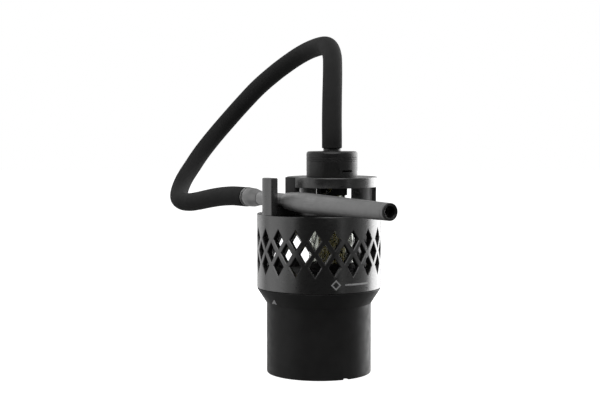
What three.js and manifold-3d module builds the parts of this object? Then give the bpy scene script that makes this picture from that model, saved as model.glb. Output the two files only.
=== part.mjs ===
// Portable electronic water pipe for a car's cup holder.
// Millimetres, +Z up, origin at the centre of the foot pad's underside. Heights are drawn from a datum plane
// that lies above that underside, and the whole model is raised by the difference at the end.
// -Y is the front, +X the right. The head turns on the base about the Z axis, and the tank, the cage and
// the cap stand on a second axis, TANK_X to the right. The mouthpiece lies in a fork at the left front.

import * as THREE from 'three';
import Module from 'manifold-3d';
import { mergeVertices } from 'three/addons/utils/BufferGeometryUtils.js';

const wasm = await Module();
wasm.setup();

// ---------------------------------------------------------------- driving dimensions

const GAP = 0.3;                      // between pieces that touch or are fixed to each other

const FOOT = -1.2;                    // the foot pad's underside, from the datum plane
const BASE_RADIUS = 35.8;             // fits a 75 mm cup holder
const BASE_WALL = 2.6;
const CONE_BOTTOM = 47;
const CONE_TOP = 57.6;
const CONE_RADIUS = 42.3;
const PAD_RADIUS = 29.5;
const PAD_THICKNESS = 1.5;

const LID_RADIUS = 37.1;
const LID_BOTTOM = 54.6;
const SPIGOT_RADIUS = 35.4;           // the twist lock's male ring
const SPIGOT_TOP = 62.4;
const LOCK_LUGS = 3;
const LOCK_LUG_ANGLE = 20;            // degrees

const CELL_RADIUS = 9;                // two short lithium cells, 18 mm across
const CELL_HEIGHT = 44;
const CELL_X = 10.6;

const SHELL_RADIUS = 42.4;
const SHELL_BORE = 38.2;
const SHELL_BOTTOM = CONE_TOP + GAP;
const SHELL_TOP = 108.2;
const LEDGE_BOTTOM = 62.8;
const FLOOR_BOTTOM = 65.1;
const FLOOR_TOP = 68.1;
const PLATE_RADIUS = 39.9;            // the plate that closes the shell's top
const PLATE_BOTTOM = 104.7;
const PLATE_TOP = 107.9;

const DIAMOND_COLUMNS = 20;
const SHELL_FACETS = 2 * DIAMOND_COLUMNS;   // so that each diamond's centre line is a facet's edge
const DIAMOND_HALF_WIDTH = 4.35;
const DIAMOND_HALF_HEIGHT = 6.6;
const DIAMOND_MIDDLE_Z = 83.9;
const DIAMOND_PITCH_Z = 8.85;
const DIAMOND_TURN = 4.6;             // degrees from the front to the first middle column

const TANK_X = 8.8;
const GLASS_RADIUS = 15.8;
const GLASS_WALL = 1.6;
const NECK_RADIUS = 9.2;
const GLASS_TOP = 124.3;
const NECK_SEAL_RADIUS = 10.5;
const SEAT_RADIUS = 17.6;
const SEAT_TOP = 75;
const HEATER_RADIUS = 9.2;

const RING_RADIUS = 31;
const RING_BOTTOM = 126.4;
const RING_TOP = 133.2;
const RING_BORE = 12.3;
const CAP_RADIUS = 17.4;
const CAP_TOP = 150.5;

const FORK_TURN = 33;                 // degrees: the fork's own X axis points from it to the tank
const FORK_HALF_LENGTH = 6.3;
const OUTER_PRONG_INNER_FACE = -36.9; // along the fork's X axis
const INNER_PRONG_OUTER_FACE = -23.6;
const INNER_PRONG_INNER_FACE = -19.7;
const MOUTHPIECE_X = -30.1;
const MOUTHPIECE_Z = 117.9;
const MOUTHPIECE_TILT = -0.5;         // degrees: the tip lies a little lower than the hose end
const REST_TOP = 113.9;

const HOSE_RADIUS = 6.85;
const HOSE_SIDES = 10;
const HOSE_STEPS = 40;
// The hose's centre line: up from the cap, back over the top, down to the left and forward to the mouthpiece.
const HOSE_ROUTE = [
  [8.8, 0, 152.6], [8.8, 0, 160], [8.8, 3, 170], [9, 8.5, 180], [9.3, 15, 190], [9.7, 23, 200],
  [10, 32.5, 209.5], [10, 43.5, 217.5], [8.5, 58, 224], [5.5, 73, 227], [-3, 98, 226.5], [-11, 112, 223.5],
  [-20, 124, 218.5], [-32.5, 137, 210], [-46, 147, 199], [-58, 154, 187], [-70, 159, 174],
  [-83, 160, 159], [-93, 156.5, 146], [-100, 150.5, 135], [-105.5, 142.5, 125.5], [-108, 133, 117.8],
  [-107.5, 120.5, 112.2], [-103.5, 109, 110], [-97, 97.5, 110], [-89, 83.5, 111.8], [-80.6, 69, 114.2],
  [-71.3, 53.5, 116.5], [-61.2, 37.6, 118], [-50, 20.8, 118.2],
];

// ---------------------------------------------------------------- finishes

function finish(color, roughness, metalness) {
  return new THREE.MeshStandardMaterial({ color, roughness, metalness });
}

const MATTE_BLACK = finish(0x151515, 0.7, 0);
const GUNMETAL = finish(0x3a3b3d, 0.35, 0.9);
const BLACK_METAL = finish(0x1a1a1b, 0.4, 0.8);
const ANODISED_GREY = finish(0x5a5b5c, 0.45, 0.8);
const RUBBER = finish(0x111111, 0.85, 0);
const HOSE_RUBBER = finish(0x1c1c1c, 0.75, 0);
const BRASS = finish(0xb08a3c, 0.3, 1);
const STEEL = finish(0x9a9c9e, 0.3, 1);
const CELL_WRAP = finish(0x35507a, 0.5, 0);
const BOARD_GREEN = finish(0x1e5134, 0.6, 0);
const COTTON = finish(0xd9d2bd, 0.95, 0);
const GLASS = new THREE.MeshStandardMaterial({
  color: 0xc9cfcb, roughness: 0.05, metalness: 0, transparent: true, opacity: 0.35,
});

// ---------------------------------------------------------------- geometry helpers

// A ring or disc turned about Z. The profile is a closed outline of [radius, z], anticlockwise.
function turned(profile, segments = 32) {
  const points = [...profile, profile[0]].map(([radius, z]) => new THREE.Vector2(radius, z));
  return new THREE.LatheGeometry(points, segments).rotateX(Math.PI / 2);
}

function disc(radius, bottom, top, segments = 24) {
  return turned([[0, bottom], [radius, bottom], [radius, top], [0, top]], segments);
}

function tube(inner, outer, bottom, top, segments = 24) {
  return turned([[inner, bottom], [outer, bottom], [outer, top], [inner, top]], segments);
}

function box(low, high) {
  const size = high.map((value, axis) => value - low[axis]);
  const geometry = new THREE.BoxGeometry(...size);
  return geometry.translate(...high.map((value, axis) => (value + low[axis]) / 2));
}

function extruded(shape, bottom, top, curveSegments = 6) {
  const options = { depth: top - bottom, bevelEnabled: false, curveSegments };
  return new THREE.ExtrudeGeometry(shape, options).translate(0, 0, bottom);
}

// A piece of a ring between two angles, in degrees anticlockwise from +X.
function ringSector(inner, outer, from, to, bottom, top) {
  const start = THREE.MathUtils.degToRad(from);
  const end = THREE.MathUtils.degToRad(to);
  const shape = new THREE.Shape();
  shape.absarc(0, 0, outer, start, end, false);
  shape.absarc(0, 0, inner, end, start, true);
  shape.closePath();
  return extruded(shape, bottom, top);
}

// A round bar along a smooth route of points.
function swept(routePoints, radius, sides, steps) {
  const route = new THREE.CatmullRomCurve3(routePoints.map((point) => new THREE.Vector3(...point)));
  const section = new THREE.Shape();
  for (let i = 0; i < sides; i += 1) {
    const turn = (2 * Math.PI * i) / sides;
    const corner = [radius * Math.cos(turn), radius * Math.sin(turn)];
    if (i === 0) {
      section.moveTo(...corner);
    } else {
      section.lineTo(...corner);
    }
  }
  section.closePath();
  return new THREE.ExtrudeGeometry(section, { steps, extrudePath: route });
}

function toSolid(geometry) {
  const bare = new THREE.BufferGeometry();
  bare.setAttribute('position', geometry.getAttribute('position').clone());
  if (geometry.index) {
    bare.setIndex(geometry.index.clone());
  }
  const merged = mergeVertices(bare, 1e-4);
  const index = merged.index.array;
  const corners = [];
  for (let i = 0; i < index.length; i += 3) {
    const [a, b, c] = [index[i], index[i + 1], index[i + 2]];
    if (a !== b && b !== c && c !== a) {
      corners.push(a, b, c);
    }
  }
  return new wasm.Manifold(new wasm.Mesh({
    numProp: 3,
    vertProperties: new Float32Array(merged.getAttribute('position').array),
    triVerts: new Uint32Array(corners),
  }));
}

function fromSolid(solid) {
  const mesh = solid.getMesh();
  const geometry = new THREE.BufferGeometry();
  geometry.setAttribute('position', new THREE.BufferAttribute(new Float32Array(mesh.vertProperties), 3));
  geometry.setIndex(new THREE.BufferAttribute(new Uint32Array(mesh.triVerts), 1));
  geometry.computeVertexNormals();
  return geometry;
}

function joined(body, extras, cuts = []) {
  let solid = toSolid(body);
  for (const extra of extras) {
    solid = solid.add(toSolid(extra));
  }
  for (const cut of cuts) {
    solid = solid.subtract(toSolid(cut));
  }
  return fromSolid(solid);
}

function cut(body, cuts) {
  return joined(body, [], cuts);
}

// Copies of a piece turned about Z, evenly spaced.
function around(count, make, turn = 0) {
  const copies = [];
  for (let i = 0; i < count; i += 1) {
    copies.push(make().rotateZ(THREE.MathUtils.degToRad(turn + (360 / count) * i)));
  }
  return copies;
}

function piece(group, name, geometry, material) {
  const mesh = new THREE.Mesh(geometry, material);
  mesh.name = name;
  group.add(mesh);
  return mesh;
}

// A pan head screw standing on z = 0, its head up and its shank down.
const SCREW_SHANK = 0.95;
const SCREW_HEAD = 2.2;

function screw() {
  const socket = new THREE.CylinderGeometry(0.9, 0.9, 2, 6).rotateX(Math.PI / 2).translate(0, 0, 1.7);
  const blank = turned([
    [0, -4.4], [SCREW_SHANK, -4.4], [SCREW_SHANK, 0], [SCREW_HEAD, 0], [SCREW_HEAD, 1.5], [0, 1.5],
  ], 8);
  return cut(blank, [socket]);
}

function screwHole(depth) {
  return disc(SCREW_SHANK + GAP, -depth, 1, 8);
}

// Screws of one set, each in its own node, on a circle about the group's Z axis.
function screwSet(group, name, radius, z, angles) {
  angles.forEach((angle, i) => {
    const turn = THREE.MathUtils.degToRad(angle);
    const mesh = piece(group, `${name}_${i + 1}`, screw(), STEEL);
    mesh.position.set(radius * Math.cos(turn), radius * Math.sin(turn), z);
  });
}

function screwHoles(radius, z, angles, depth) {
  return angles.map((angle) => {
    const turn = THREE.MathUtils.degToRad(angle);
    return screwHole(depth).translate(radius * Math.cos(turn), radius * Math.sin(turn), z);
  });
}

// ---------------------------------------------------------------- base

const LID_SCREW_CIRCLE = 30;
const LID_SCREW_ANGLES = [30, 150, 270];
const BOSS_RADIUS = 3.6;
const LID_PLATE_TOP = CONE_TOP - GAP;
const BUTTON_Z = 30;
const BUTTON_RADIUS = 4.6;
const BUTTON_FLAT = 34.9;             // the flat at the back of the base that the button stands in
const PORT_Z = 14;

function baseCup() {
  const recess = FOOT + PAD_THICKNESS + GAP;
  const floor = recess + BASE_WALL;
  const cup = turned([
    [0, recess], [PAD_RADIUS + GAP, recess], [PAD_RADIUS + GAP, FOOT + 0.3], [BASE_RADIUS - 0.8, FOOT + 0.3],
    [BASE_RADIUS, FOOT + 1.1], [BASE_RADIUS, CONE_BOTTOM], [CONE_RADIUS, CONE_TOP - 0.6],
    [CONE_RADIUS - 0.4, CONE_TOP], [LID_RADIUS + GAP, CONE_TOP], [LID_RADIUS + GAP, LID_BOTTOM - GAP],
    [LID_RADIUS - 1.3, LID_BOTTOM - GAP], [BASE_RADIUS - BASE_WALL, CONE_BOTTOM],
    [BASE_RADIUS - BASE_WALL, floor], [0, floor],
  ], 40);
  const bosses = LID_SCREW_ANGLES.map((angle) => {
    const turn = THREE.MathUtils.degToRad(angle);
    const boss = disc(BOSS_RADIUS, floor - 0.5, LID_BOTTOM - GAP, 10);
    return boss.translate(LID_SCREW_CIRCLE * Math.cos(turn), LID_SCREW_CIRCLE * Math.sin(turn), 0);
  });
  const edgeNotch = box([-2.3, -BASE_RADIUS - 1, FOOT], [2.3, -PAD_RADIUS, FOOT + 1.3]);
  edgeNotch.rotateZ(THREE.MathUtils.degToRad(30));
  const buttonFlat = box([-7, BUTTON_FLAT, BUTTON_Z - 7], [7, BASE_RADIUS + 1, BUTTON_Z + 7]);
  const buttonHole = disc(BUTTON_RADIUS + GAP, -3, 3, 16).rotateX(-Math.PI / 2);
  buttonHole.translate(0, BUTTON_FLAT, BUTTON_Z);
  const portSlot = box([-4.8, BASE_RADIUS - BASE_WALL - 1, PORT_Z - 1.9], [4.8, BASE_RADIUS + 1, PORT_Z + 1.9]);
  const screwBores = screwHoles(LID_SCREW_CIRCLE, LID_BOTTOM - GAP, LID_SCREW_ANGLES, 3);
  return joined(cup, bosses, [edgeNotch, buttonFlat, buttonHole, portSlot, ...screwBores]);
}

// The lid closes the base and carries the twist lock's male ring, with lugs that point outwards.
function baseLid() {
  const lid = turned([
    [0, LID_BOTTOM], [LID_RADIUS, LID_BOTTOM], [LID_RADIUS, LID_PLATE_TOP], [SPIGOT_RADIUS, LID_PLATE_TOP],
    [SPIGOT_RADIUS, SPIGOT_TOP], [SPIGOT_RADIUS - 2.2, SPIGOT_TOP], [SPIGOT_RADIUS - 2.2, LID_PLATE_TOP],
    [0, LID_PLATE_TOP],
  ], 32);
  const lugs = around(LOCK_LUGS, () => ringSector(
    SPIGOT_RADIUS - 1, SPIGOT_RADIUS + 1.9, -LOCK_LUG_ANGLE / 2, LOCK_LUG_ANGLE / 2, 60.6, SPIGOT_TOP,
  ), 90);
  const pinHole = disc(2.8, LID_BOTTOM - 1, LID_PLATE_TOP + 1, 12);
  const screwBores = screwHoles(LID_SCREW_CIRCLE, LID_PLATE_TOP, LID_SCREW_ANGLES, 4);
  return joined(lid, lugs, [pinHole, ...screwBores]);
}

function batteryCradle() {
  const cradle = box([-22, -10.6, 3.5], [22, 10.6, 12]);
  const wells = [-CELL_X, CELL_X].map((x) => disc(CELL_RADIUS + GAP, 6.6, 13).translate(x, 0, 0));
  return cut(cradle, wells);
}

function batteryCell() {
  const top = 7 + CELL_HEIGHT;
  return turned([
    [0, 7], [CELL_RADIUS - 0.5, 7], [CELL_RADIUS, 7.5], [CELL_RADIUS, top - 1.5],
    [CELL_RADIUS - 0.8, top - 1], [3, top - 1], [3, top], [0, top],
  ], 20);
}

function controlBoard() {
  const board = box([-15, 14, 4.6], [15, 15.6, 46]);
  const chip = box([-5, 15.4, 33], [5, 17, 41]);
  const coil = disc(4, 0, 4, 12).rotateX(-Math.PI / 2).translate(8, 15.5, 20);
  return joined(board, [chip, coil]);
}

function chargePort() {
  const socket = box([-4.5, 16, PORT_Z - 1.6], [4.5, 35.1, PORT_Z + 1.6]);
  const mouth = box([-4.1, 28.7, PORT_Z - 1.2], [4.1, 36, PORT_Z + 1.2]);
  const tongue = box([-3.2, 28.2, PORT_Z - 0.35], [3.2, 34.1, PORT_Z + 0.35]);
  return joined(cut(socket, [mouth]), [tongue]);
}

// The tactile switch on its own small board, just behind the button.
function buttonSwitch() {
  const board = box([-6, 27.3, BUTTON_Z - 6], [6, 28.7, BUTTON_Z + 6]);
  const dome = disc(2.2, 28.2, 30.3, 12).rotateX(-Math.PI / 2).translate(0, 0, BUTTON_Z);
  return joined(board, [dome]);
}

function powerButton() {
  const profile = [
    [0, -3.6], [BUTTON_RADIUS + 1, -3.6], [BUTTON_RADIUS + 1, -2.9], [BUTTON_RADIUS, -2.9],
    [BUTTON_RADIUS, 0.5], [BUTTON_RADIUS - 0.4, 0.9], [0, 0.9],
  ];
  return turned(profile, 16).rotateX(-Math.PI / 2).translate(0, BUTTON_FLAT, BUTTON_Z);
}

function contactPin() {
  return turned([
    [0, 50.5], [1.4, 50.5], [2.4, 51.5], [2.4, 60.4], [1.5, 60.4], [1.5, 61.6], [1, 62.1], [0, 62.1],
  ], 12);
}

function buildBase(root) {
  piece(root, 'foot_pad', turned([
    [0, FOOT], [PAD_RADIUS - 0.5, FOOT], [PAD_RADIUS, FOOT + 0.5], [PAD_RADIUS, FOOT + PAD_THICKNESS],
    [0, FOOT + PAD_THICKNESS],
  ], 32), RUBBER);
  piece(root, 'base_cup', baseCup(), MATTE_BLACK);
  piece(root, 'battery_cradle', batteryCradle(), MATTE_BLACK);
  [-CELL_X, CELL_X].forEach((x, i) => {
    piece(root, `battery_cell_${i + 1}`, batteryCell(), CELL_WRAP).position.x = x;
  });
  piece(root, 'control_board', controlBoard(), BOARD_GREEN);
  piece(root, 'charge_port', chargePort(), STEEL);
  piece(root, 'button_switch', buttonSwitch(), BOARD_GREEN);
  piece(root, 'power_button', powerButton(), BLACK_METAL);
  piece(root, 'base_lid', baseLid(), MATTE_BLACK);
  piece(root, 'contact_pin', contactPin(), BRASS);
  screwSet(root, 'lid_screw', LID_SCREW_CIRCLE, LID_PLATE_TOP + GAP, LID_SCREW_ANGLES);
}

// ---------------------------------------------------------------- head: shell, floor and top plate

const FLOOR_SCREW_CIRCLE = 35.3;
const FLOOR_SCREW_ANGLES = [75, 195, 315];
const LEAD_X = -10;

// One diamond of the lattice: a four sided bar that cuts the wall at the front of the shell.
function diamond(z) {
  const shape = new THREE.Shape();
  shape.moveTo(-DIAMOND_HALF_WIDTH, 0);
  shape.lineTo(0, -DIAMOND_HALF_HEIGHT);
  shape.lineTo(DIAMOND_HALF_WIDTH, 0);
  shape.lineTo(0, DIAMOND_HALF_HEIGHT);
  shape.closePath();
  return extruded(shape, 0, 8).rotateX(Math.PI / 2).translate(0, -36, z);
}

// Three rows of diamonds, the middle row half a column out of step with the other two.
function diamonds() {
  const halfColumn = 180 / DIAMOND_COLUMNS;
  return [-1, 0, 1].flatMap((row) => {
    const turn = row === 0 ? DIAMOND_TURN : DIAMOND_TURN - halfColumn;
    return around(DIAMOND_COLUMNS, () => diamond(DIAMOND_MIDDLE_Z + row * DIAMOND_PITCH_Z), turn);
  });
}

function outerProng() {
  const prong = box(
    [-SHELL_RADIUS - 2, -FORK_HALF_LENGTH, PLATE_TOP + GAP],
    [OUTER_PRONG_INNER_FACE, FORK_HALF_LENGTH, RING_TOP],
  );
  const round = disc(SHELL_RADIUS, PLATE_BOTTOM, RING_TOP + 1, 40);
  const rimSeat = box([-SHELL_RADIUS, -FORK_HALF_LENGTH, SHELL_TOP - 3], [-40.4, FORK_HALF_LENGTH, SHELL_TOP + 1]);
  const blank = toSolid(prong).add(toSolid(rimSeat)).intersect(toSolid(round));
  return fromSolid(blank).rotateZ(THREE.MathUtils.degToRad(FORK_TURN));
}

function latticeShell() {
  const wall = turned([
    [SHELL_BORE, SHELL_BOTTOM], [SHELL_RADIUS, SHELL_BOTTOM], [SHELL_RADIUS, SHELL_TOP],
    [PLATE_RADIUS + GAP, SHELL_TOP], [PLATE_RADIUS + GAP, PLATE_BOTTOM - GAP],
    [SHELL_BORE, PLATE_BOTTOM - GAP], [SHELL_BORE, FLOOR_BOTTOM - GAP], [32.6, FLOOR_BOTTOM - GAP],
    [32.6, LEDGE_BOTTOM], [SHELL_BORE, LEDGE_BOTTOM],
  ], SHELL_FACETS).rotateZ(THREE.MathUtils.degToRad(DIAMOND_TURN));
  const lugs = around(LOCK_LUGS, () => ringSector(
    SPIGOT_RADIUS + 0.4, SHELL_BORE + 1, -LOCK_LUG_ANGLE / 2, LOCK_LUG_ANGLE / 2, SHELL_BOTTOM, 60.3,
  ), 90);
  const floorScrewBores = screwHoles(FLOOR_SCREW_CIRCLE, FLOOR_BOTTOM, FLOOR_SCREW_ANGLES, 4);
  return joined(wall, [...lugs, outerProng()], [...diamonds(), ...floorScrewBores]);
}

function headFloor() {
  const floor = disc(SHELL_BORE - GAP, FLOOR_BOTTOM, FLOOR_TOP, 40);
  const wireHole = disc(2, FLOOR_BOTTOM - 1, FLOOR_TOP + 1, 10).translate(LEAD_X, 0, 0);
  return cut(floor, [wireHole, ...screwHoles(FLOOR_SCREW_CIRCLE, FLOOR_TOP, FLOOR_SCREW_ANGLES, 4)]);
}

// The insulated lead from the contact plate, up through the floor and into the tank seat's side.
function contactLead() {
  const x = LEAD_X;
  return swept([
    [x + 2, 0, 63.6], [x + 0.6, 0, 63.8], [x, 0, 65], [x, 0, 69.5], [x + 0.3, 0, 71], [x + 0.8, 0, 71.4],
  ], 0.8, 8, 16);
}

function topPlate() {
  const plate = turned([
    [0, PLATE_BOTTOM], [PLATE_RADIUS, PLATE_BOTTOM], [PLATE_RADIUS, PLATE_TOP - 0.5],
    [PLATE_RADIUS - 0.5, PLATE_TOP], [0, PLATE_TOP],
  ], 36);
  const tankHole = disc(GLASS_RADIUS + 0.6, PLATE_BOTTOM - 1, PLATE_TOP + 1, 28).translate(TANK_X, 0, 0);
  const cageBores = screwHoles(CAGE_SCREW_CIRCLE, FOOT_TOP, CAGE_SCREW_ANGLES, 6.4);
  cageBores.forEach((bore) => bore.translate(TANK_X, 0, 0));
  return cut(plate, [tankHole, ...cageBores]);
}

// ---------------------------------------------------------------- head: tank

function tankSeat() {
  return turned([
    [0, FLOOR_TOP + GAP], [SEAT_RADIUS, FLOOR_TOP + GAP], [SEAT_RADIUS, SEAT_TOP - 0.6],
    [SEAT_RADIUS - 0.6, SEAT_TOP], [GLASS_RADIUS + GAP, SEAT_TOP], [GLASS_RADIUS + GAP, SEAT_TOP - 3],
    [0, SEAT_TOP - 3],
  ], 28);
}

// A bottle shape: a straight tank, a round shoulder and a narrow neck, open at both ends.
function tankGlass() {
  const shoulderLow = 110;
  const shoulderHigh = 118.5;
  const outline = (inset) => {
    const points = [[GLASS_RADIUS - inset, shoulderLow]];
    const steps = 4;
    for (let i = 1; i <= steps; i += 1) {
      const share = i / steps;
      const blend = (1 - Math.cos(Math.PI * share)) / 2;
      const radius = THREE.MathUtils.lerp(GLASS_RADIUS, NECK_RADIUS, blend) - inset;
      points.push([radius, THREE.MathUtils.lerp(shoulderLow, shoulderHigh, share)]);
    }
    return points;
  };
  return turned([
    [GLASS_RADIUS - GLASS_WALL, SEAT_TOP - 1.6], [GLASS_RADIUS, SEAT_TOP - 1.6], ...outline(0),
    [NECK_RADIUS, GLASS_TOP], [NECK_RADIUS - GLASS_WALL, GLASS_TOP], ...outline(GLASS_WALL).reverse(),
  ], 24);
}

function seatSeal() {
  return tube(GLASS_RADIUS - GLASS_WALL, GLASS_RADIUS, SEAT_TOP - 2.7, SEAT_TOP - 1.9);
}

// The sleeve that joins the glass neck to the ring above it, with a window at the left front.
function neckSeal() {
  const bottom = 120.6;
  const top = RING_TOP - 3.5 - GAP;
  const seal = turned([
    [NECK_RADIUS + GAP, bottom], [NECK_SEAL_RADIUS - 0.6, bottom], [NECK_SEAL_RADIUS, bottom + 0.6],
    [NECK_SEAL_RADIUS, top], [7.9, top], [7.9, GLASS_TOP + GAP], [NECK_RADIUS + GAP, GLASS_TOP + GAP],
  ]);
  const window = box([-4, -13, 121.9], [4, -7, 126.5]).rotateZ(THREE.MathUtils.degToRad(-23));
  return cut(seal, [window]);
}

// The heater: a ribbed brass body with six round wicking ports, hollow for the wick.
function heaterBody() {
  const bottom = SEAT_TOP - 2.7;
  const top = 103;
  const body = turned([
    [7.4, bottom], [HEATER_RADIUS, bottom], [HEATER_RADIUS, top - 5], [6.4, top], [4.6, top],
    [4.6, top - 5], [7.4, top - 6],
  ], 20);
  const ports = [83, 93].flatMap((z, row) => around(
    3,
    () => disc(1.7, 6, 11, 8).rotateY(Math.PI / 2).translate(0, 0, z),
    row * 60 - 60,
  ));
  return cut(body, ports);
}

function wick() {
  return tube(4.4, 7.1, SEAT_TOP - 2.7, 96.5, 20);
}

function chimneyTube() {
  const bottom = 97.3;
  return turned([
    [2.6, bottom], [4.2, bottom], [4.2, 118.5], [6, 119.5], [6, 123.5], [4.2, 124.5], [4.2, 131.8], [2.6, 131.8],
  ], 16);
}

// ---------------------------------------------------------------- head: cage, cap and hose fitting

const CAGE_SCREW_CIRCLE = 25;
const CAGE_SCREW_ANGLES = [25, 90, 250];
const FOOT_TOP = PLATE_TOP + GAP + 1.8;
const POST_INNER = 27.4;
const POST_OUTER = 30.2;

// The fork's inner prong: a square post that stands in a notch of the cage's ring and foot.
function innerProng() {
  return box(
    [INNER_PRONG_OUTER_FACE, -FORK_HALF_LENGTH, PLATE_TOP + GAP],
    [INNER_PRONG_INNER_FACE, FORK_HALF_LENGTH, RING_TOP],
  );
}

// The cage about the tank's neck: a foot ring, two broad posts at the back, and a ring with a top wall that
// the cap stands on, notched for the fork's inner prong.
function cage() {
  const ring = turned([
    [RING_BORE, RING_TOP - 3.5], [POST_INNER, RING_TOP - 3.5], [POST_INNER, RING_BOTTOM],
    [RING_RADIUS, RING_BOTTOM], [RING_RADIUS, RING_TOP - 0.6], [RING_RADIUS - 0.6, RING_TOP],
    [RING_BORE, RING_TOP],
  ], 40);
  const foot = tube(22, POST_OUTER, PLATE_TOP + GAP, FOOT_TOP, 32);
  const rightPost = ringSector(POST_INNER, POST_OUTER, -2, 59, FOOT_TOP - 0.5, RING_BOTTOM + 0.5);
  const leftPost = ringSector(POST_INNER, POST_OUTER, 112, 172, FOOT_TOP - 0.5, RING_BOTTOM + 0.5);
  const notch = box(
    [INNER_PRONG_OUTER_FACE - 5, -FORK_HALF_LENGTH - GAP, PLATE_TOP],
    [INNER_PRONG_INNER_FACE + GAP, FORK_HALF_LENGTH + GAP, RING_TOP + 1],
  );
  notch.rotateZ(THREE.MathUtils.degToRad(FORK_TURN)).translate(-TANK_X, 0, 0);
  return joined(ring, [foot, rightPost, leftPost], [
    notch, ...screwHoles(CAGE_SCREW_CIRCLE, FOOT_TOP, CAGE_SCREW_ANGLES, 3),
  ]);
}

// The fixed middle of the cap, with the air port that the collar's slot passes over.
const CORE_RADIUS = 14.6;
const SLOT_Z = 137.4;
const SLOT_HALF_LENGTH = 4.2;
const SLOT_TURN = -54.3;              // degrees anticlockwise from +X, seen from above

function capCore() {
  const core = turned([
    [3.2, RING_TOP + GAP], [CORE_RADIUS, RING_TOP + GAP], [CORE_RADIUS, 147.2], [7.6, 147.2],
    [7.6, 149.2], [3.2, 149.2],
  ], 28);
  const port = box([8, -3.8, SLOT_Z - 0.9], [CORE_RADIUS + 1, 3.8, SLOT_Z + 0.9]);
  return cut(core, [port.rotateZ(THREE.MathUtils.degToRad(SLOT_TURN))]);
}

function airflowCollar() {
  const bore = CORE_RADIUS + GAP;
  const collar = turned([
    [bore, RING_TOP + GAP], [CAP_RADIUS, RING_TOP + GAP], [CAP_RADIUS, CAP_TOP - 3.2],
    [CAP_RADIUS - 0.24, CAP_TOP - 1.98], [CAP_RADIUS - 0.94, CAP_TOP - 0.94],
    [CAP_RADIUS - 1.98, CAP_TOP - 0.24], [CAP_RADIUS - 3.2, CAP_TOP], [8, CAP_TOP], [8, 147.5],
    [bore, 147.5],
  ], 32);
  const slot = box(
    [bore - 1, -SLOT_HALF_LENGTH, SLOT_Z - 0.55], [CAP_RADIUS + 1, SLOT_HALF_LENGTH, SLOT_Z + 0.55],
  );
  return cut(collar, [slot.rotateZ(THREE.MathUtils.degToRad(SLOT_TURN))]);
}

function hoseNozzle() {
  return turned([
    [2.6, 149.5], [7.4, 149.5], [7.4, 150.4], [5.8, 150.8], [5.8, 152.3], [2.6, 152.3],
  ], 20);
}

// ---------------------------------------------------------------- mouthpiece, along its own Z axis

const HOSE_END = 44.2;                // from the fork back to the hose's end
const TIP_END = 120.8;                // from the fork forward to the tip
const MOUTHPIECE_BORE = 2.7;

function mouthpieceTube() {
  return turned([
    [MOUTHPIECE_BORE, -26.5], [4.8, -26.5], [4.8, 6.5], [5.5, 7.4], [6.1, 12], [6.6, 20], [6.8, 27],
    [6.45, 47], [5.85, 81], [5.35, TIP_END - 1.6], [4.6, TIP_END - 1.6], [4.6, TIP_END - 6.5],
    [MOUTHPIECE_BORE, TIP_END - 6.5],
  ], 20);
}

// A flanged insert in the tube's end.
function mouthpieceTip() {
  return turned([
    [3.6, TIP_END - 6.2], [4.3, TIP_END - 6.2], [4.3, TIP_END - 1.3], [5.35, TIP_END - 1.3],
    [5.3, TIP_END - 0.5], [4.9, TIP_END], [4.2, TIP_END], [3.6, TIP_END - 0.6],
  ], 20);
}

function hoseConnector() {
  return turned([
    [MOUTHPIECE_BORE, -HOSE_END + 0.9], [6.3, -HOSE_END + 0.9], [6.6, -HOSE_END + 4], [6.4, -HOSE_END + 9],
    [5.6, -HOSE_END + 13], [4.9, -HOSE_END + 17.4], [MOUTHPIECE_BORE, -HOSE_END + 17.4],
  ], 20);
}

function hoseFerrule() {
  return tube(MOUTHPIECE_BORE, HOSE_RADIUS - 0.1, -HOSE_END - 0.3, -HOSE_END + 0.6, 20);
}

// The saddle between the prongs, with a round trough under the mouthpiece's neck.
function mouthpieceRest() {
  const block = box(
    [OUTER_PRONG_INNER_FACE + GAP, -FORK_HALF_LENGTH + 0.4, PLATE_TOP + GAP],
    [INNER_PRONG_OUTER_FACE - GAP, FORK_HALF_LENGTH - 0.4, REST_TOP],
  );
  const trough = disc(5.15, -12, 12, 24).rotateX(Math.PI / 2 - THREE.MathUtils.degToRad(MOUTHPIECE_TILT));
  return cut(block, [trough.translate(MOUTHPIECE_X, 0, MOUTHPIECE_Z)]);
}

function hose() {
  return swept(HOSE_ROUTE, HOSE_RADIUS, HOSE_SIDES, HOSE_STEPS);
}

// ---------------------------------------------------------------- assembly

function buildHead(root) {
  piece(root, 'lattice_shell', latticeShell(), GUNMETAL);
  piece(root, 'head_floor', headFloor(), MATTE_BLACK);
  piece(root, 'contact_plate', disc(7, 62.4, FLOOR_BOTTOM - GAP, 16), BRASS);
  piece(root, 'contact_lead', contactLead(), RUBBER);
  screwSet(root, 'floor_screw', FLOOR_SCREW_CIRCLE, FLOOR_TOP + GAP, FLOOR_SCREW_ANGLES);
  piece(root, 'top_plate', topPlate(), BLACK_METAL);

  const tank = new THREE.Group();
  tank.position.x = TANK_X;
  root.add(tank);
  piece(tank, 'tank_seat', tankSeat(), MATTE_BLACK);
  piece(tank, 'seat_seal', seatSeal(), RUBBER);
  piece(tank, 'tank_glass', tankGlass(), GLASS);
  piece(tank, 'neck_seal', neckSeal(), RUBBER);
  piece(tank, 'heater_body', heaterBody(), BRASS);
  piece(tank, 'wick', wick(), COTTON);
  piece(tank, 'chimney_tube', chimneyTube(), BRASS);
  piece(tank, 'cage', cage(), GUNMETAL);
  screwSet(tank, 'cage_screw', CAGE_SCREW_CIRCLE, FOOT_TOP + GAP, CAGE_SCREW_ANGLES);
  piece(tank, 'cap_core', capCore(), MATTE_BLACK);
  piece(tank, 'airflow_collar', airflowCollar(), BLACK_METAL);
  piece(tank, 'hose_nozzle', hoseNozzle(), STEEL);
  piece(root, 'hose', hose(), HOSE_RUBBER);
}

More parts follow.
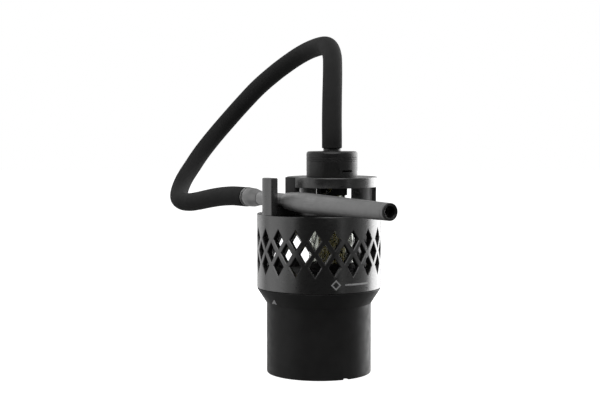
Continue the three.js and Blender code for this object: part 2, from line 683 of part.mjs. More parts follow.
function buildFork(root) {
  const fork = new THREE.Group();
  fork.rotation.z = THREE.MathUtils.degToRad(FORK_TURN);
  root.add(fork);
  piece(fork, 'inner_prong', innerProng(), MATTE_BLACK);
  piece(fork, 'mouthpiece_rest', mouthpieceRest(), RUBBER);

  const mouthpiece = new THREE.Group();
  mouthpiece.position.set(MOUTHPIECE_X, 0, MOUTHPIECE_Z);
  mouthpiece.rotation.x = Math.PI / 2 - THREE.MathUtils.degToRad(MOUTHPIECE_TILT);
  fork.add(mouthpiece);
  piece(mouthpiece, 'mouthpiece_tube', mouthpieceTube(), ANODISED_GREY);
  piece(mouthpiece, 'mouthpiece_tip', mouthpieceTip(), BLACK_METAL);
  piece(mouthpiece, 'hose_connector', hoseConnector(), ANODISED_GREY);
  piece(mouthpiece, 'hose_ferrule', hoseFerrule(), STEEL);
}

const drawn = new THREE.Group();
buildBase(drawn);
buildHead(drawn);
buildFork(drawn);
drawn.position.z = -FOOT;

const model = new THREE.Group();
model.add(drawn);

export default model;
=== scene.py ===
"""Portable electronic water pipe: the fine surfaces, the materials, the light and the camera.

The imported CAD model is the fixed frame. Lengths in this script are millimetres, and the mesh helpers
turn them into Blender's metres. -Y is the front and +Z is up. As in the CAD drawing, heights are
measured from a datum plane, and each finished piece is raised so that the foot pad's underside, at
FOOT, comes to lie on Z = 0.
"""
import math

import bmesh
import bpy
from mathutils import Matrix, Vector


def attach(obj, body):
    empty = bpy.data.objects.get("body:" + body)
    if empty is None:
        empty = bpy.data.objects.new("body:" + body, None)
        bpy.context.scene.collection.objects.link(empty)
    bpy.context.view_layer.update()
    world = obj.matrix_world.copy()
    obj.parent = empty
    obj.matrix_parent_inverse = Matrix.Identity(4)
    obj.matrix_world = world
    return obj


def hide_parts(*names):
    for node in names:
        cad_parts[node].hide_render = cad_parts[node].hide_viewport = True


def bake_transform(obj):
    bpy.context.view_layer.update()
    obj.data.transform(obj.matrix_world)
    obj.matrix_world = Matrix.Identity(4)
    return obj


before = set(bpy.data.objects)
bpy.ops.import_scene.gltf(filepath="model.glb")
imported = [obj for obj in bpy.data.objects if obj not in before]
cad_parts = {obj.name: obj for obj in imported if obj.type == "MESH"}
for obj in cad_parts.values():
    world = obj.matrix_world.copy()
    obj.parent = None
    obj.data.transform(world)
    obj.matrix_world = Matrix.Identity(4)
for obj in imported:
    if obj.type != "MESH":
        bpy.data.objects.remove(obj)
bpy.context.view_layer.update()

MM = 0.001

# ---------------------------------------------------------------- driving dimensions

FOOT = -1.2
BASE_RADIUS = 35.8
CONE_BOTTOM = 47.0
CONE_TOP = 57.6
CONE_RADIUS = 42.3
BASE_WALL = 2.6
LID_BORE = 37.4
PAD_RADIUS = 29.5
BUTTON_FLAT = 34.9

SHELL_RADIUS = 42.4
SHELL_BORE = 38.2
SHELL_BOTTOM = 57.9
SHELL_TOP = 108.2
PLATE_BORE = 40.2
PLATE_BOTTOM = 104.7
PLATE_TOP = 107.9

DIAMOND_COLUMNS = 20
DIAMOND_HALF_WIDTH = 4.35
DIAMOND_HALF_HEIGHT = 6.6
DIAMOND_MIDDLE_Z = 83.9
DIAMOND_PITCH_Z = 8.85
DIAMOND_TURN = 4.6
DIAMOND_CHAMFER = 0.4

TANK_X = 8.8
GLASS_RADIUS = 15.8
GLASS_WALL = 1.6
NECK_RADIUS = 9.2
GLASS_TOP = 124.3
NECK_SEAL_RADIUS = 10.5
SEAT_RADIUS = 17.6
SEAT_TOP = 75.0
HEATER_RADIUS = 9.2

RING_RADIUS = 31.0
RING_BOTTOM = 126.4
RING_TOP = 133.2
RING_BORE = 12.3
POST_INNER = 27.4
POST_OUTER = 30.2
FOOT_TOP = 110.0
CAP_RADIUS = 17.4
CAP_TOP = 150.5
SLOT_Z = 137.4
SLOT_HALF_LENGTH = 4.2
SLOT_TURN = -54.3

FORK_TURN = 33.0
FORK_HALF_LENGTH = 6.3
OUTER_PRONG_INNER_FACE = -36.9
INNER_PRONG_OUTER_FACE = -23.6
INNER_PRONG_INNER_FACE = -19.7
MOUTHPIECE_X = -30.1
MOUTHPIECE_Z = 117.9
MOUTHPIECE_TILT = -0.5
MOUTHPIECE_BORE = 2.7
HOSE_END = 44.2
TIP_END = 120.8
REST_TOP = 113.9

HOSE_RADIUS = 6.85
HOSE_BORE = 4.6
# The hose's centre line, from the cap over the top and back to the mouthpiece.
HOSE_ROUTE = [
    (8.8, 0, 152.6), (8.8, 0, 160), (8.8, 3, 170), (9, 8.5, 180), (9.3, 15, 190), (9.7, 23, 200),
    (10, 32.5, 209.5), (10, 43.5, 217.5), (8.5, 58, 224), (5.5, 73, 227), (-3, 98, 226.5),
    (-11, 112, 223.5), (-20, 124, 218.5), (-32.5, 137, 210), (-46, 147, 199), (-58, 154, 187),
    (-70, 159, 174), (-83, 160, 159), (-93, 156.5, 146), (-100, 150.5, 135), (-105.5, 142.5, 125.5),
    (-108, 133, 117.8), (-107.5, 120.5, 112.2), (-103.5, 109, 110), (-97, 97.5, 110),
    (-89, 83.5, 111.8), (-80.6, 69, 114.2), (-71.3, 53.5, 116.5), (-61.2, 37.6, 118),
    (-50, 20.8, 118.2),
]

CAMERA_PLACE = (-13.0, -850.0, 167.5)
CAMERA_PITCH = 3.33                   # degrees below the level
CAMERA_LENS = 74.64                   # on a sensor of SENSOR_WIDTH
SENSOR_WIDTH = 36

WHITE = (1, 1, 1, 1)
FLOOR_HALF_SIZE = 4000.0
ROOM_FRONT, ROOM_BACK = 0.03, 0.45    # what a reflection sees before and behind the part
ROOM_TURNS_AT = (-0.7, 1.0)           # between these depths of direction, -1 front and 1 back
LIGHT_TARGET = (0.0, 0.0, 0.11)       # metres, as are the distances and sizes of the lights
SOFTBOX_RISE = 5                      # degrees above the level
SOFTBOX_DISTANCE = 1.1


# ---------------------------------------------------------------- mesh helpers

def make_object(name, vertices, faces):
    """A new mesh object from millimetre vertices, in the scene."""
    mesh = bpy.data.meshes.new(name)
    mesh.from_pydata([tuple(c * MM for c in v) for v in vertices], [], faces)
    mesh.validate()
    obj = bpy.data.objects.new(name, mesh)
    bpy.context.scene.collection.objects.link(obj)
    edit = bmesh.new()
    edit.from_mesh(mesh)
    bmesh.ops.recalc_face_normals(edit, faces=edit.faces)
    edit.to_mesh(mesh)
    edit.free()
    return obj


def rounded(outline, steps=5):
    """A closed outline whose corners given as (a, b, radius) are replaced by arcs of about that radius."""
    result = []
    count = len(outline)
    for i, corner in enumerate(outline):
        here = Vector(corner[:2])
        if len(corner) == 2:
            result.append(tuple(here))
            continue
        before = Vector(outline[i - 1][:2]) - here
        after = Vector(outline[(i + 1) % count][:2]) - here
        half = before.angle(after) / 2
        reach = min(corner[2] / math.tan(half), before.length * 0.49, after.length * 0.49)
        start = here + before.normalized() * reach
        end = here + after.normalized() * reach
        for k in range(steps + 1):
            t = k / steps
            point = start * (1 - t) ** 2 + here * 2 * t * (1 - t) + end * t ** 2
            result.append(tuple(point))
    return result


def turned(name, outline, segments=192, centre=(0.0, 0.0)):
    """A body turned about a vertical axis from a closed outline of (radius, z[, corner radius])."""
    profile = rounded(outline)
    vertices = []
    rings = []
    for radius, z in profile:
        if radius < 1e-6:
            rings.append([len(vertices)] * segments)
            vertices.append((centre[0], centre[1], z))
            continue
        rings.append(list(range(len(vertices), len(vertices) + segments)))
        for k in range(segments):
            turn = 2 * math.pi * k / segments
            vertices.append((centre[0] + radius * math.cos(turn), centre[1] + radius * math.sin(turn), z))
    faces = []
    for low, high in zip(rings, rings[1:] + rings[:1]):
        for k in range(segments):
            following = (k + 1) % segments
            corners = [low[k], low[following], high[following], high[k]]
            face = list(dict.fromkeys(corners))
            if len(face) > 2:
                faces.append(face)
    return make_object(name, vertices, faces)


def prism(name, outline, bottom, top):
    """An upright prism over a plan outline of (x, y[, corner radius])."""
    plan = rounded(outline)
    count = len(plan)
    vertices = [(x, y, bottom) for x, y in plan] + [(x, y, top) for x, y in plan]
    faces = [list(range(count))[::-1], list(range(count, 2 * count))]
    for k in range(count):
        following = (k + 1) % count
        faces.append([k, following, count + following, count + k])
    return make_object(name, vertices, faces)


def block(name, low, high):
    """A box between two corners."""
    outline = [(low[0], low[1]), (high[0], low[1]), (high[0], high[1]), (low[0], high[1])]
    return prism(name, outline, low[2], high[2])


def ring_sector(name, inner, outer, start, end, bottom, top, centre=(0.0, 0.0)):
    """A piece of a ring between two angles, in degrees anticlockwise from +X."""
    steps = max(3, int(abs(end - start) / 2))
    turns = [math.radians(start + (end - start) * k / steps) for k in range(steps + 1)]
    outline = [(centre[0] + outer * math.cos(t), centre[1] + outer * math.sin(t)) for t in turns]
    outline += [(centre[0] + inner * math.cos(t), centre[1] + inner * math.sin(t)) for t in turns[::-1]]
    return prism(name, outline, bottom, top)


def move(obj, matrix):
    obj.data.transform(matrix)
    return obj


def turn_z(obj, degrees):
    return move(obj, Matrix.Rotation(math.radians(degrees), 4, "Z"))


def shift(obj, x=0.0, y=0.0, z=0.0):
    return move(obj, Matrix.Translation((x * MM, y * MM, z * MM)))


def apply_modifiers(obj):
    """The evaluated mesh takes the place of the object's own."""
    bpy.context.view_layer.update()
    evaluated = obj.evaluated_get(bpy.context.evaluated_depsgraph_get())
    mesh = bpy.data.meshes.new_from_object(evaluated)
    obj.modifiers.clear()
    old = obj.data
    obj.data = mesh
    bpy.data.meshes.remove(old)
    return obj


def combine(obj, others, operation):
    """Join, cut or intersect obj with other objects, which are used up."""
    for other in others:
        boolean = obj.modifiers.new("boolean", "BOOLEAN")
        boolean.operation = operation
        boolean.solver = "MANIFOLD"
        boolean.object = other
        apply_modifiers(obj)
        mesh = other.data
        bpy.data.objects.remove(other)
        bpy.data.meshes.remove(mesh)
    return obj


def join_meshes(name, objects):
    """One object that holds several separate closed bodies."""
    edit = bmesh.new()
    for obj in objects:
        edit.from_mesh(obj.data)
        mesh = obj.data
        bpy.data.objects.remove(obj)
        bpy.data.meshes.remove(mesh)
    mesh = bpy.data.meshes.new(name)
    edit.to_mesh(mesh)
    edit.free()
    obj = bpy.data.objects.new(name, mesh)
    bpy.context.scene.collection.objects.link(obj)
    return obj


def soften(obj, width, segments=3, above=None, limit=35):
    """Round the edges sharper than the limit, all of them or those above a height."""
    edit = bmesh.new()
    edit.from_mesh(obj.data)
    edges = []
    for edge in edit.edges:
        if len(edge.link_faces) != 2 or edge.calc_face_angle(0) < math.radians(limit):
            continue
        if above is None or min(v.co.z for v in edge.verts) > above * MM:
            edges.append(edge)
    bmesh.ops.bevel(edit, geom=edges, offset=width * MM, segments=segments, affect="EDGES", profile=0.5)
    edit.to_mesh(obj.data)
    edit.free()
    return obj


def shade(obj, angle=32):
    """Smooth shading, with edges sharper than the angle kept crisp."""
    obj.data.shade_smooth()
    obj.data.set_sharp_from_angle(angle=math.radians(angle))
    return obj


# ---------------------------------------------------------------- material helpers

def srgb(value):
    """Linear light of an 8 bit grey or of three 8 bit channels."""
    values = value if isinstance(value, tuple) else (value, value, value)
    linear = [((v / 255 + 0.055) / 1.055) ** 2.4 if v > 10 else v / 255 / 12.92 for v in values]
    return (*linear, 1.0)


class Surface:
    """A Principled material with noise driven colour, roughness and bump, in the piece's own space."""

    def __init__(self, name, colour, roughness, metallic=0.0):
        self.material = bpy.data.materials.new(name)
        self.material.use_nodes = True
        self.nodes = self.material.node_tree.nodes
        self.links = self.material.node_tree.links
        self.shader = self.nodes["Principled BSDF"]
        self.shader.inputs["Base Color"].default_value = colour
        self.shader.inputs["Roughness"].default_value = roughness
        self.shader.inputs["Metallic"].default_value = metallic
        self.colour = colour
        self.roughness = roughness
        self.place = self.nodes.new("ShaderNodeTexCoord")
        self.last_bump = None

    def set(self, **values):
        for name, value in values.items():
            self.shader.inputs[name.replace("_", " ")].default_value = value
        return self

    def noise(self, scale, stretch=(1, 1, 1), detail=4.0, rough=0.55):
        """A noise pattern with a feature size of 1 / scale metres, stretched along the axes."""
        mapping = self.nodes.new("ShaderNodeMapping")
        mapping.inputs["Scale"].default_value = stretch
        self.links.new(self.place.outputs["Object"], mapping.inputs["Vector"])
        texture = self.nodes.new("ShaderNodeTexNoise")
        texture.inputs["Scale"].default_value = scale
        texture.inputs["Detail"].default_value = detail
        texture.inputs["Roughness"].default_value = rough
        self.links.new(mapping.outputs["Vector"], texture.inputs["Vector"])
        return texture.outputs["Fac"]

    def spread(self, pattern, low, high, start=0.35, end=0.65):
        """The pattern's middle range mapped onto low to high."""
        ranger = self.nodes.new("ShaderNodeMapRange")
        ranger.inputs["From Min"].default_value = start
        ranger.inputs["From Max"].default_value = end
        ranger.inputs["To Min"].default_value = low
        ranger.inputs["To Max"].default_value = high
        self.links.new(pattern, ranger.inputs["Value"])
        return ranger.outputs["Result"]

    def vary_roughness(self, pattern, amount):
        value = self.spread(pattern, max(0.02, self.roughness - amount), min(1, self.roughness + amount))
        self.links.new(value, self.shader.inputs["Roughness"])
        return self

    def vary_colour(self, pattern, darker, lighter):
        mix = self.nodes.new("ShaderNodeMix")
        mix.data_type = "RGBA"
        mix.inputs["A"].default_value = (*[c * darker for c in self.colour[:3]], 1)
        mix.inputs["B"].default_value = (*[c * lighter for c in self.colour[:3]], 1)
        self.links.new(self.spread(pattern, 0, 1), mix.inputs["Factor"])
        self.links.new(mix.outputs["Result"], self.shader.inputs["Base Color"])
        return self

    def bump(self, pattern, height_mm, strength=1.0):
        node = self.nodes.new("ShaderNodeBump")
        node.inputs["Strength"].default_value = strength
        node.inputs["Distance"].default_value = height_mm * MM
        self.links.new(pattern, node.inputs["Height"])
        if self.last_bump is not None:
            self.links.new(self.last_bump, node.inputs["Normal"])
        self.last_bump = node.outputs["Normal"]
        self.links.new(self.last_bump, self.shader.inputs["Normal"])
        return self


def matte_black_plastic():
    surface = Surface("matte_black_plastic", srgb(66), 0.5)
    surface.set(Specular_IOR_Level=0.22)
    surface.vary_colour(surface.noise(60, detail=2), 0.88, 1.1)
    surface.vary_roughness(surface.noise(180), 0.06)
    surface.bump(surface.noise(2600, detail=2), 0.02, 0.35)
    return surface.material


def gunmetal():
    surface = Surface("gunmetal", srgb(138), 0.32, 1.0)
    surface.vary_colour(surface.noise(45, (1, 1, 0.3)), 0.93, 1.06)
    surface.vary_roughness(surface.noise(300, (1, 1, 6)), 0.05)
    surface.bump(surface.noise(900, (0.15, 0.15, 7), detail=3), 0.012, 0.3)
    return surface.material


def black_metal():
    surface = Surface("black_metal", srgb(84), 0.4, 0.8)
    surface.vary_colour(surface.noise(50, (1, 1, 0.4)), 0.9, 1.1)
    surface.vary_roughness(surface.noise(500, (0.2, 0.2, 6)), 0.07)
    surface.bump(surface.noise(1300, (0.1, 0.1, 6), detail=3), 0.02, 0.5)
    return surface.material


def anodised_grey():
    surface = Surface("anodised_grey", srgb(172), 0.42, 0.8)
    surface.vary_colour(surface.noise(70), 0.93, 1.07)
    surface.vary_roughness(surface.noise(400), 0.05)
    surface.bump(surface.noise(3000, detail=2), 0.01, 0.3)
    return surface.material


def rubber():
    surface = Surface("rubber", srgb(30), 0.7)
    surface.vary_colour(surface.noise(90), 0.85, 1.15)
    surface.vary_roughness(surface.noise(300), 0.06)
    surface.bump(surface.noise(1800, detail=3), 0.03, 0.35)
    return surface.material


def hose_rubber():
    surface = Surface("hose_rubber", srgb(64), 0.8)
    surface.set(Specular_IOR_Level=0.12)
    surface.vary_colour(surface.noise(35, detail=3), 0.92, 1.08)
    surface.vary_roughness(surface.noise(240), 0.06)
    surface.bump(surface.noise(2200, detail=3), 0.02, 0.3)
    return surface.material


def brass():
    surface = Surface("brass", (0.2, 0.17, 0.075, 1), 0.3, 1.0)
    surface.vary_colour(surface.noise(200), 0.8, 1.1)
    surface.vary_roughness(surface.noise(500), 0.08)
    surface.bump(surface.noise(1500, (0.2, 0.2, 5)), 0.01, 0.4)
    return surface.material


def steel():
    surface = Surface("steel", srgb(215), 0.3, 1.0)
    surface.vary_colour(surface.noise(120), 0.9, 1.05)
    surface.vary_roughness(surface.noise(500, (0.2, 0.2, 5)), 0.07)
    surface.bump(surface.noise(1500, (0.2, 0.2, 6)), 0.008, 0.3)
    return surface.material


def glass():
    surface = Surface("tank_glass", (0.5, 0.51, 0.48, 1), 0.06)
    surface.set(Transmission_Weight=1.0, IOR=1.46)
    surface.vary_roughness(surface.noise(60, detail=2), 0.02)
    surface.bump(surface.noise(40, detail=1), 0.02, 0.05)
    return surface.material


def cotton():
    surface = Surface("cotton", (0.72, 0.66, 0.48, 1), 0.95)
    surface.vary_colour(surface.noise(400), 0.7, 1.1)
    surface.bump(surface.noise(1600, (3, 3, 0.6), detail=5), 0.15, 0.8)
    return surface.material


def cell_wrap():
    surface = Surface("cell_wrap", (0.04, 0.09, 0.2, 1), 0.35)
    surface.vary_colour(surface.noise(80), 0.85, 1.15)
    surface.vary_roughness(surface.noise(200), 0.06)
    surface.bump(surface.noise(300, (1, 1, 0.2)), 0.02, 0.3)
    return surface.material


def circuit_board():
    surface = Surface("circuit_board", (0.012, 0.09, 0.035, 1), 0.45)
    surface.vary_colour(surface.noise(500), 0.6, 1.3)
    surface.vary_roughness(surface.noise(400), 0.08)
    surface.bump(surface.noise(900), 0.02, 0.3)
    return surface.material


def white_print():
    surface = Surface("white_print", srgb(250), 0.5)
    surface.vary_colour(surface.noise(600), 0.95, 1.0)
    surface.bump(surface.noise(2500), 0.01, 0.3)
    return surface.material


MATERIALS = {
    "matte_black_plastic": matte_black_plastic(),
    "gunmetal": gunmetal(),
    "black_metal": black_metal(),
    "anodised_grey": anodised_grey(),
    "rubber": rubber(),
    "hose_rubber": hose_rubber(),
    "brass": brass(),
    "steel": steel(),
    "tank_glass": glass(),
    "cotton": cotton(),
    "cell_wrap": cell_wrap(),
    "circuit_board": circuit_board(),
}
WHITE_PRINT = white_print()


def dress(obj, material):
    obj.data.materials.clear()
    obj.data.materials.append(material)
    return obj


def install(obj, body, slot, replaced=(), material=None):
    """Raise a new piece to its place. Give it its finish, its body and the CAD nodes it stands for."""
    shift(obj, z=-FOOT)
    shade(obj)
    dress(obj, material or MATERIALS[slot])
    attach(obj, body)
    if replaced:
        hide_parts(*replaced)
    return obj


# ---------------------------------------------------------------- base

def build_base_cup():
    floor = FOOT + 1.8 + BASE_WALL
    cup = turned("base_cup_body", [
        (0, FOOT + 1.8), (PAD_RADIUS + 0.3, FOOT + 1.8), (PAD_RADIUS + 0.3, FOOT + 0.3),
        (BASE_RADIUS, FOOT + 0.3, 0.9),
        (BASE_RADIUS, CONE_BOTTOM, 1.0), (CONE_RADIUS, CONE_TOP - 0.5, 0.3), (CONE_RADIUS - 0.4, CONE_TOP),
        (LID_BORE, CONE_TOP), (LID_BORE, 54.3), (LID_BORE - 1.6, 54.3),
        (BASE_RADIUS - BASE_WALL, CONE_BOTTOM), (BASE_RADIUS - BASE_WALL, floor), (0, floor),
    ], 256)
    notch = turn_z(block("notch", (-2.3, -BASE_RADIUS - 1, FOOT - 1), (2.3, -PAD_RADIUS, FOOT + 1.3)), 30)
    flat = block("flat", (-7, BUTTON_FLAT, 23), (7, BASE_RADIUS + 1, 37))
    hole = turned("hole", [(0, -3), (4.9, -3), (4.9, 3), (0, 3)], 64)
    move(hole, Matrix.Rotation(math.radians(-90), 4, "X"))
    shift(hole, 0, BUTTON_FLAT, 30)
    slot = prism("slot", [(-4.8, -1.9, 1.7), (4.8, -1.9, 1.7), (4.8, 1.9, 1.7), (-4.8, 1.9, 1.7)], 31, 37)
    move(slot, Matrix.Rotation(math.radians(-90), 4, "X"))
    shift(slot, 0, 0, 14)
    combine(cup, [notch, flat, hole, slot], "DIFFERENCE")
    install(cup, "base", "matte_black_plastic", ["base_cup"])


def build_foot_pad():
    grooves = [(radius, 0.45) for radius in (8, 12, 16, 20, 24)]
    outline = [(0, 0)]
    for radius, depth in grooves:
        outline += [(radius - 0.5, 0), (radius - 0.3, depth), (radius + 0.3, depth), (radius + 0.5, 0)]
    outline += [(PAD_RADIUS, 0, 0.5), (PAD_RADIUS, 1.5), (0, 1.5)]
    pad = shift(turned("foot_pad_grooved", outline, 160), z=FOOT)
    install(pad, "base", "rubber", ["foot_pad"])


def on_cone(turn_degrees, side, up):
    """A point on the cone: side is along the surface from the given turn, up is the height on it."""
    share = (up - CONE_BOTTOM) / (CONE_TOP - 0.5 - CONE_BOTTOM)
    radius = BASE_RADIUS + (CONE_RADIUS - BASE_RADIUS) * share + 0.05
    turn = math.radians(turn_degrees) + side / radius
    return (radius * math.sin(turn), -radius * math.cos(turn), up)


def build_index_mark():
    """The small triangle on the cone that shows where the twist lock is closed."""
    turn = -55.5
    steps = 6
    vertices = []
    faces = []
    for k in range(steps + 1):
        up = CONE_BOTTOM + 1.4 + 3.4 * k / steps
        half = 2.9 * (1 - k / steps) + 0.02
        lean = 3.0 * k / steps
        vertices += [on_cone(turn, lean - half, up), on_cone(turn, lean + half, up)]
        if k:
            faces.append([2 * k - 2, 2 * k - 1, 2 * k + 1, 2 * k])
    mark = make_object("index_mark", vertices, faces)
    solid = mark.modifiers.new("solid", "SOLIDIFY")
    solid.thickness = 0.09 * MM
    solid.offset = 0
    apply_modifiers(mark)
    install(mark, "base", "matte_black_plastic", material=WHITE_PRINT)


def build_power_button():
    button = turned("power_button_cap", [
        (0, -3.6), (5.6, -3.6), (5.6, -2.9), (4.6, -2.9), (4.6, 0.9, 0.5), (3.0, 0.9, 0.4), (2.6, 0.6, 0.4),
        (0, 0.6),
    ], 96)
    move(button, Matrix.Rotation(math.radians(-90), 4, "X"))
    shift(button, 0, BUTTON_FLAT, 30)
    install(button, "button", "black_metal", ["power_button"])


# ---------------------------------------------------------------- head

def diamond_cutter(z, turn):
    """A diamond shaped bar through the wall, flared at the outer and inner faces for their chamfers."""
    sections = [
        (SHELL_BORE - 1.5, DIAMOND_CHAMFER + 1.5), (SHELL_BORE + DIAMOND_CHAMFER, 0.0),
        (SHELL_RADIUS - DIAMOND_CHAMFER, 0.0), (SHELL_RADIUS + 1.0, DIAMOND_CHAMFER + 1.0),
    ]
    corners = [(1, 0), (0, 1), (-1, 0), (0, -1)]
    steps = 6
    outline = []
    for k, corner in enumerate(corners):
        following = corners[(k + 1) % 4]
        for step in range(steps):
            t = step / steps
            outline.append((corner[0] * (1 - t) + following[0] * t, corner[1] * (1 - t) + following[1] * t))
    grow_width = math.hypot(DIAMOND_HALF_WIDTH, DIAMOND_HALF_HEIGHT) / DIAMOND_HALF_HEIGHT
    grow_height = math.hypot(DIAMOND_HALF_WIDTH, DIAMOND_HALF_HEIGHT) / DIAMOND_HALF_WIDTH
    vertices = []
    for radius, flare in sections:
        for across, up in outline:
            width = DIAMOND_HALF_WIDTH + flare * grow_width
            height = DIAMOND_HALF_HEIGHT + flare * grow_height
            angle = turn + across * width / SHELL_RADIUS
            vertices.append((radius * math.sin(angle), -radius * math.cos(angle), z + up * height))
    count = len(outline)
    faces = [list(range(count))[::-1], list(range(3 * count, 4 * count))]
    for layer in range(3):
        for k in range(count):
            following = (k + 1) % count
            low = layer * count
            faces.append([low + k, low + following, low + count + following, low + count + k])
    return vertices, faces


def lattice_cutters():
    """All the diamonds of the lattice: three rows, the middle one half a column out of step."""
    rows = []
    half_column = 180 / DIAMOND_COLUMNS
    for row in (-1, 0, 1):
        start = DIAMOND_TURN if row == 0 else DIAMOND_TURN - half_column
        cutters = []
        for column in range(DIAMOND_COLUMNS):
            turn = math.radians(start + 360 / DIAMOND_COLUMNS * column)
            vertices, faces = diamond_cutter(DIAMOND_MIDDLE_Z + row * DIAMOND_PITCH_Z, turn)
            cutters.append(make_object("diamond", vertices, faces))
        rows.append(join_meshes("diamond_row", cutters))
    return rows


def outer_prong():
    """The fork's outer prong: flush with the shell outside and flat inside."""
    half = math.asin(FORK_HALF_LENGTH / SHELL_RADIUS)
    steps = 10
    outline = []
    for k in range(steps + 1):
        turn = math.pi + half - 2 * half * k / steps
        outline.append((SHELL_RADIUS * math.cos(turn), SHELL_RADIUS * math.sin(turn)))
    outline += [(OUTER_PRONG_INNER_FACE, FORK_HALF_LENGTH), (OUTER_PRONG_INNER_FACE, -FORK_HALF_LENGTH)]
    prong = prism("prong", outline, 108.0, RING_TOP)
    soften(prong, 0.8, 4, above=107.0)
    return turn_z(prong, FORK_TURN)


def build_lattice_shell():
    shell = turned("lattice_shell_body", [
        (SHELL_BORE, SHELL_BOTTOM), (SHELL_RADIUS, SHELL_BOTTOM, 0.35), (SHELL_RADIUS, SHELL_TOP, 0.5),
        (PLATE_BORE, SHELL_TOP, 0.3), (PLATE_BORE, PLATE_BOTTOM - 0.3), (SHELL_BORE, PLATE_BOTTOM - 0.3),
        (SHELL_BORE, 64.8), (32.6, 64.8), (32.6, 62.8), (SHELL_BORE, 62.8),
    ], 360)
    combine(shell, lattice_cutters(), "DIFFERENCE")
    combine(shell, [outer_prong()], "UNION")
    install(shell, "head", "gunmetal", ["lattice_shell"])


def build_top_plate():
    plate = turned("top_plate_disc", [
        (0, PLATE_BOTTOM), (39.9, PLATE_BOTTOM), (39.9, PLATE_TOP, 0.5), (0, PLATE_TOP),
    ], 192)
    hole = turned("hole", [
        (0, PLATE_BOTTOM - 1), (16.4, PLATE_BOTTOM - 1), (16.4, PLATE_TOP - 0.5), (17.9, PLATE_TOP + 1),
        (0, PLATE_TOP + 1),
    ], 128, (TANK_X, 0))
    combine(plate, [hole], "DIFFERENCE")
    install(plate, "head", "black_metal", ["top_plate"])


def build_ornament():
    """A printed ornament low on the shell's right front: an open rhombus and one plain bar."""
    z = 63.6
    first_turn = 14.5
    parts = []

    def patch(points):
        vertices = []
        for across, up in points:
            turn = math.radians(first_turn) + across / SHELL_RADIUS
            for radius in (SHELL_RADIUS - 0.05, SHELL_RADIUS + 0.06):
                vertices.append((radius * math.sin(turn), -radius * math.cos(turn), z + up))
        count = len(points)
        faces = [[2 * k + 1 for k in range(count)], [2 * k for k in range(count)][::-1]]
        for k in range(count):
            following = (k + 1) % count
            faces.append([2 * k, 2 * following, 2 * following + 1, 2 * k + 1])
        parts.append(make_object("patch", vertices, faces))

    for corner in range(4):
        turn = math.pi / 2 * corner
        points = []
        for reach, lead in ((3.5, 0), (3.5, 1), (2.2, 1), (2.2, 0)):
            angle = turn + lead * math.pi / 2
            points.append((reach * math.cos(angle), reach * math.sin(angle)))
        patch(points)
    steps = 10
    for k in range(steps):
        left, right = (6.4 + 19.0 * step / steps for step in (k, k + 1))
        patch([(left, -0.6), (right, -0.6), (right, 0.6), (left, 0.6)])
    install(join_meshes("shell_ornament", parts), "head", "gunmetal", material=WHITE_PRINT)


def build_tank_seat():
    seat = turned("tank_seat_body", [
        (0, 68.4), (SEAT_RADIUS, 68.4, 0.3), (SEAT_RADIUS, 70.2, 0.2), (SEAT_RADIUS - 0.5, 70.5, 0.2),
        (SEAT_RADIUS - 0.5, 71.0, 0.2), (SEAT_RADIUS, 71.3, 0.2), (SEAT_RADIUS, SEAT_TOP, 0.6),
        (GLASS_RADIUS + 0.3, SEAT_TOP), (GLASS_RADIUS + 0.3, SEAT_TOP - 3), (0, SEAT_TOP - 3),
    ], 144, (TANK_X, 0))
    install(seat, "head", "matte_black_plastic", ["tank_seat"])


def build_tank_glass():
    """A bottle shape: a straight tank, a round shoulder and a narrow neck, open at both ends."""
    low, high = 110.0, 118.5

    def shoulder(inset):
        points = []
        steps = 16
        for k in range(steps + 1):
            blend = (1 - math.cos(math.pi * k / steps)) / 2
            radius = GLASS_RADIUS + (NECK_RADIUS - GLASS_RADIUS) * blend - inset
            points.append((radius, low + (high - low) * k / steps))
        return points

    outline = [(GLASS_RADIUS - GLASS_WALL, SEAT_TOP - 1.6), (GLASS_RADIUS, SEAT_TOP - 1.6, 0.3)]
    outline += shoulder(0) + [(NECK_RADIUS, GLASS_TOP, 0.3), (NECK_RADIUS - GLASS_WALL, GLASS_TOP, 0.3)]
    outline += shoulder(GLASS_WALL)[::-1]
    install(turned("tank_glass_bottle", outline, 144, (TANK_X, 0)), "head", "tank_glass", ["tank_glass"])


def build_neck_seal():
    """The sleeve that joins the glass neck to the ring above it, with a window at the left front."""
    bottom = 120.6
    seal = turned("neck_seal_sleeve", [
        (NECK_RADIUS + 0.3, bottom), (NECK_SEAL_RADIUS, bottom, 0.8), (NECK_SEAL_RADIUS, RING_TOP - 3.8),
        (7.9, RING_TOP - 3.8), (7.9, GLASS_TOP + 0.3), (NECK_RADIUS + 0.3, GLASS_TOP + 0.3),
    ], 128, (TANK_X, 0))
    window = prism("window", [(-4, 121.9, 1.0), (4, 121.9, 1.0), (4, 126.5, 1.0), (-4, 126.5, 1.0)], 7, 13)
    move(window, Matrix.Rotation(math.radians(90), 4, "X"))
    turn_z(window, -23)
    shift(window, TANK_X)
    combine(seal, [window], "DIFFERENCE")
    install(seal, "head", "rubber", ["neck_seal"])


